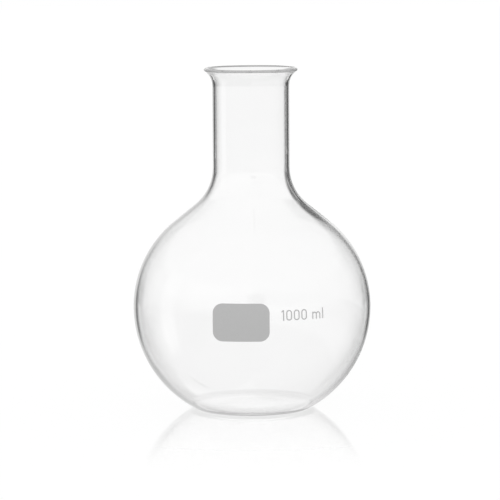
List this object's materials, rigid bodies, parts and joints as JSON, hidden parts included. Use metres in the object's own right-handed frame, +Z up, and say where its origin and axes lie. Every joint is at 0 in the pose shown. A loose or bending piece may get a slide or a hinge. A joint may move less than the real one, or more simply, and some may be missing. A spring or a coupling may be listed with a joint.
{
  "type": "flat-bottomed boiling flask",
  "caption": "Clear round glass flask with a flat foot, a short wide neck and a flared lip, for holding and heating liquids, with an enamel writing panel and capacity mark.",
  "frame": {"origin": "middle of the foot, on the surface that the flask stands on", "axes": "+Z up the flask's axis to its mouth; the marks face -Y"},
  "size_m": [0.131, 0.1311, 0.188],
  "materials": {
    "clear_glass": "clear, blown and fire-polished",
    "grey_enamel": "fired on, satin"
  },
  "bodies": {
    "root": {"flask_body": "clear_glass", "writing_panel": "grey_enamel", "numeral_1": "grey_enamel", "numeral_0_first": "grey_enamel", "numeral_0_second": "grey_enamel", "numeral_0_third": "grey_enamel", "letter_m": "grey_enamel", "letter_l": "grey_enamel"}
  },
  "joints": []
}
